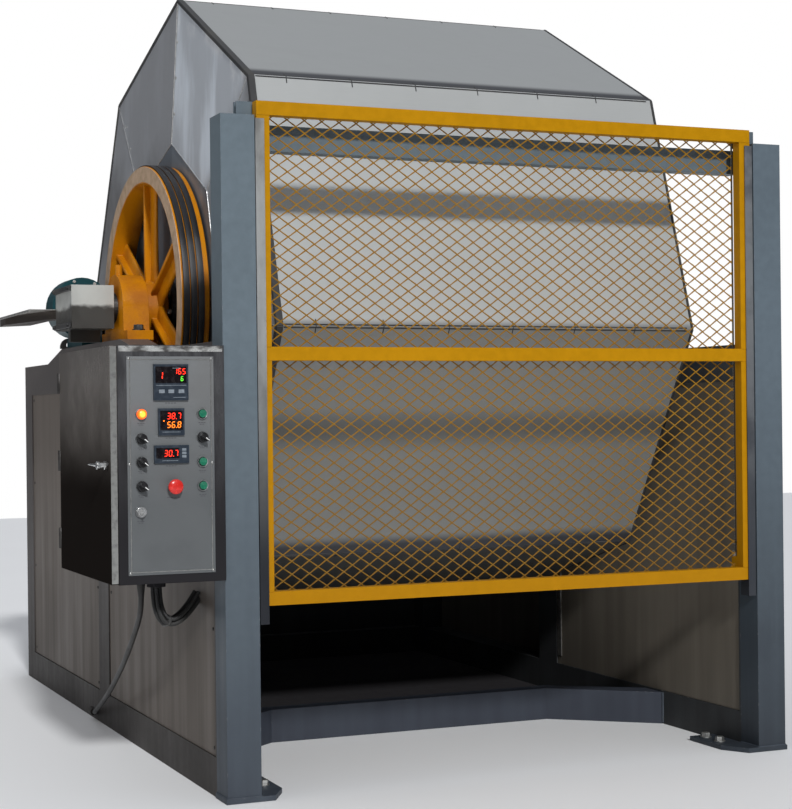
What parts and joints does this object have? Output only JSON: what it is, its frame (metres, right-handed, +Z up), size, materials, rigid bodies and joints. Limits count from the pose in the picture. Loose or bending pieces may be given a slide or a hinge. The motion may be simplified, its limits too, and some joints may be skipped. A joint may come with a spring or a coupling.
{
  "type": "octagonal tumbling drum machine",
  "caption": "Stainless octagonal drum on a horizontal axle in a steel frame, with a lifting mesh guard, a belt drive, an air duct and a side control cabinet.",
  "frame": {"origin": "on the floor under the middle of the whole machine's box", "axes": "+X along the drum's axle to the right seen from the front, +Y to the rear, +Z up"},
  "size_m": [2.171, 2.5644, 2.4559],
  "materials": {
    "frame_paint": "blue-grey machine enamel with light orange peel",
    "guard_paint": "golden yellow enamel",
    "drive_paint": "orange-yellow enamel on castings",
    "stainless": "satin brushed stainless sheet",
    "panel_paint": "warm grey enamel on sheet",
    "belt_rubber": "matt black fabric-wrapped rubber",
    "dark_steel": "oiled dark steel",
    "black_plastic": "moulded black plastic",
    "fan_paint": "dark teal enamel",
    "lamp_lens": "orange lens",
    "button_green": "green moulded plastic",
    "stop_red": "red moulded plastic",
    "key_metal": "bright nickel",
    "cable_black": "black cable sheath"
  },
  "bodies": {
    "root": {"left_side_frame": "frame_paint", "right_side_frame": "frame_paint", "left_front_post": "frame_paint", "right_front_post": "frame_paint", "front_lintel": "frame_paint", "front_crossmember": "frame_paint", "rear_bulkhead": "frame_paint", "left_panel_front": "panel_paint", "left_panel_rear": "panel_paint", "right_panel_front": "panel_paint", "right_panel_rear": "panel_paint", "right_inner_panel": "panel_paint", "left_bearing_block": "drive_paint", "right_bearing_block": "drive_paint", "left_guide_rail": "stainless", "right_guide_rail": "stainless", "cabinet_body": "stainless", "instrument_plate": "stainless", "air_box": "stainless", "long_duct": "stainless", "gearmotor": "dark_steel", "left_lift_rope": "dark_steel", "right_lift_rope": "dark_steel", "v_belt_1": "belt_rubber", "v_belt_2": "belt_rubber", "v_belt_3": "belt_rubber", "meter_top": "black_plastic", "meter_middle": "black_plastic", "meter_bottom": "black_plastic", "control_backplate": "black_plastic", "fan_housing": "fan_paint", "pilot_lamp": "lamp_lens", "conduit_bundle": "cable_black", "supply_cable": "cable_black"},
    "drum": {"drum_shell": "stainless", "drum_end_left": "stainless", "drum_end_right": "stainless", "left_stub_axle": "dark_steel", "right_stub_axle": "dark_steel", "drum_pulley": "drive_paint"},
    "drum_hatch": {"drum_door": "stainless"},
    "motor_pulley": {"motor_pulley": "drive_paint"},
    "guard": {"guard_frame": "guard_paint", "guard_mesh": "guard_paint"},
    "left_weight": {"left_counterweight": "dark_steel"},
    "right_weight": {"right_counterweight": "dark_steel"},
    "left_sheave": {"left_sheave": "dark_steel"},
    "right_sheave": {"right_sheave": "dark_steel"},
    "cabinet_door": {"cabinet_door": "stainless"},
    "latch": {"door_latch": "dark_steel"},
    "emergency_stop": {"emergency_stop": "stop_red"},
    "key_switch": {"key_switch": "key_metal"},
    "fan_rotor": {"fan_rotor": "stainless"},
    "knob_1": {"knob_1": "black_plastic"},
    "knob_2": {"knob_2": "black_plastic"},
    "knob_3": {"knob_3": "black_plastic"},
    "knob_4": {"knob_4": "black_plastic"},
    "push_button_1": {"push_button_1": "button_green"},
    "push_button_2": {"push_button_2": "button_green"},
    "push_button_3": {"push_button_3": "button_green"}
  },
  "joints": [
    {"name": "drum_spin", "type": "hinge", "parent": "root", "child": "drum", "pos_m": [-0.7385, 0.02215, 1.42], "axis": [1, 0, 0], "continuous": true},
    {"name": "motor_spin", "type": "hinge", "parent": "root", "child": "motor_pulley", "pos_m": [-0.7385, 0.92215, 0.43], "axis": [1, 0, 0], "continuous": true},
    {"name": "drum_hatch_swing", "type": "hinge", "parent": "drum", "child": "drum_hatch", "pos_m": [0.2075, 1.0035, 1.64946], "axis": [-1, 0, 0], "range_deg": [0, 120]},
    {"name": "guard_lift", "type": "slide", "parent": "root", "child": "guard", "axis": [0, 0, 1], "range_m": [0, 0.9], "deforming": ["left_lift_rope", "right_lift_rope"]},
    {"name": "left_weight_drop", "type": "slide", "parent": "root", "child": "left_weight", "axis": [0, 0, 1], "range_m": [-0.9, 0]},
    {"name": "right_weight_drop", "type": "slide", "parent": "root", "child": "right_weight", "axis": [0, 0, 1], "range_m": [-0.9, 0]},
    {"name": "left_sheave_turn", "type": "hinge", "parent": "root", "child": "left_sheave", "pos_m": [-0.6305, -1.17785, 1.885], "axis": [0, 1, 0], "range_deg": [-1920, 0]},
    {"name": "right_sheave_turn", "type": "hinge", "parent": "root", "child": "right_sheave", "pos_m": [0.9735, -1.17785, 1.885], "axis": [0, 1, 0], "range_deg": [0, 1920]},
    {"name": "cabinet_door_swing", "type": "hinge", "parent": "root", "child": "cabinet_door", "pos_m": [-1.0555, -0.67385, 0.907], "axis": [0, 0, -1], "range_deg": [0, 115]},
    {"name": "latch_turn", "type": "hinge", "parent": "cabinet_door", "child": "latch", "pos_m": [-1.0555, -1.21385, 0.9235], "axis": [1, 0, 0], "range_deg": [0, 90]},
    {"name": "knob_1_turn", "type": "hinge", "parent": "root", "child": "knob_1", "pos_m": [-0.9725, -1.24785, 0.992], "axis": [0, 1, 0], "range_deg": [-45, 45]},
    {"name": "knob_2_turn", "type": "hinge", "parent": "root", "child": "knob_2", "pos_m": [-0.9725, -1.24785, 0.93], "axis": [0, 1, 0], "range_deg": [-45, 45]},
    {"name": "knob_3_turn", "type": "hinge", "parent": "root", "child": "knob_3", "pos_m": [-0.9725, -1.24785, 0.866], "axis": [0, 1, 0], "range_deg": [-45, 45]},
    {"name": "knob_4_turn", "type": "hinge", "parent": "root", "child": "knob_4", "pos_m": [-0.8035, -1.24785, 0.994], "axis": [0, 1, 0], "range_deg": [-45, 45]},
    {"name": "push_button_1_press", "type": "slide", "parent": "root", "child": "push_button_1", "axis": [0, 1, 0], "range_m": [0, 0.004], "stiffness_N_per_m": 400},
    {"name": "push_button_2_press", "type": "slide", "parent": "root", "child": "push_button_2", "axis": [0, 1, 0], "range_m": [0, 0.004], "stiffness_N_per_m": 400},
    {"name": "push_button_3_press", "type": "slide", "parent": "root", "child": "push_button_3", "axis": [0, 1, 0], "range_m": [0, 0.004], "stiffness_N_per_m": 400},
    {"name": "emergency_stop_press", "type": "slide", "parent": "root", "child": "emergency_stop", "axis": [0, 1, 0], "range_m": [0, 0.006]},
    {"name": "key_turn", "type": "hinge", "parent": "root", "child": "key_switch", "pos_m": [-0.9755, -1.24785, 0.798], "axis": [0, 1, 0], "range_deg": [0, 90]},
    {"name": "fan_spin", "type": "hinge", "parent": "root", "child": "fan_rotor", "pos_m": [-0.7285, 0.40715, 1.441], "axis": [0, 1, 0], "continuous": true}
  ],
  "couplings": [
    {"joint": "motor_spin", "follows": "drum_spin", "ratio": 4},
    {"joint": "left_weight_drop", "follows": "guard_lift", "ratio": -1},
    {"joint": "right_weight_drop", "follows": "guard_lift", "ratio": -1},
    {"joint": "left_sheave_turn", "follows": "guard_lift", "rad_per_m": -37.037},
    {"joint": "right_sheave_turn", "follows": "guard_lift", "rad_per_m": 37.037}
  ]
}
